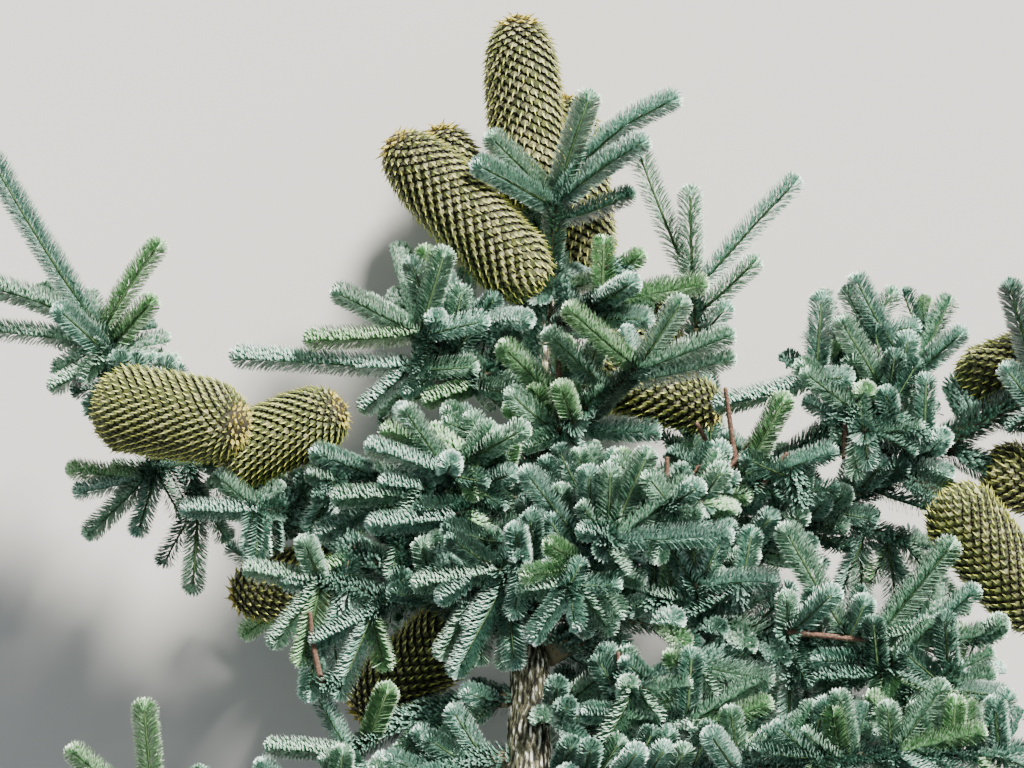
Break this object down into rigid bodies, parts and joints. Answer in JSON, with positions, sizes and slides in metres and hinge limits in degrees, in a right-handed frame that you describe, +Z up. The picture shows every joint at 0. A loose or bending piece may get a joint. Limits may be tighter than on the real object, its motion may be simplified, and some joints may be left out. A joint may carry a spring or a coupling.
{
  "type": "cut treetop of a noble fir with cones",
  "caption": "Cut crown top of a noble fir with leaning and upright cones, lying on its far-side shoots, trunk end sawn flat.",
  "frame": {"origin": "centre of the bounding box in X and Y, on the floor plane under the lowest shoot tips", "axes": "+X across the crown to the right, +Y from the sawn end toward the tip of the tree, +Z up from the floor"},
  "size_m": [0.961, 0.7488, 0.3539],
  "materials": {
    "bark": "rough grey-olive bark",
    "cone": "dry scaly cone with straw-coloured bracts",
    "needles": "waxy blue-green needles"
  },
  "bodies": {
    "root": {"trunk": "bark", "bough_right_low": "bark", "bough_left_low": "bark", "bough_left_inner": "bark", "bough_far_left": "bark", "bough_right_high": "bark", "bough_right_far": "bark", "bough_spire": "bark", "bough_low_left": "bark", "bough_foot_left": "bark", "bough_low_right": "bark", "bough_foot_right": "bark", "bough_foot_far_left": "bark", "bough_back_left": "bark", "bough_back_right": "bark", "bough_back_low": "bark", "cone_top": "cone", "cone_top_left": "cone", "cone_top_left_behind": "cone", "cone_top_right": "cone", "cone_right_middle": "cone", "cone_far_left": "cone", "cone_far_left_inner": "cone", "cone_left_low": "cone", "cone_left_hanging": "cone", "cone_far_right_upper": "cone", "cone_far_right_middle": "cone", "cone_far_right_lower": "cone", "cone_behind": "cone", "leader_shoots": "needles", "spire_shoots": "needles", "upper_right_shoots": "needles", "left_upper_shoots": "needles", "left_middle_shoots": "needles", "front_upper_shoots": "needles", "front_middle_shoots": "needles", "front_left_shoots": "needles", "right_low_shoots": "needles", "right_low_hanging": "needles", "right_low_upright": "needles", "right_high_shoots": "needles", "right_high_inner": "needles", "far_right_shoots": "needles", "far_right_hanging": "needles", "left_low_hanging": "needles", "left_inner_shoots": "needles", "far_left_shoots": "needles", "far_left_hanging": "needles", "far_left_inner": "needles", "low_left_shoots": "needles", "foot_left_shoots": "needles", "foot_far_left_shoots": "needles", "low_right_shoots": "needles", "foot_right_shoots": "needles", "back_left_shoots": "needles", "back_right_shoots": "needles", "back_low_shoots": "needles", "back_upper_shoots": "needles", "back_middle_left": "needles", "back_middle_right": "needles"}
  },
  "joints": []
}
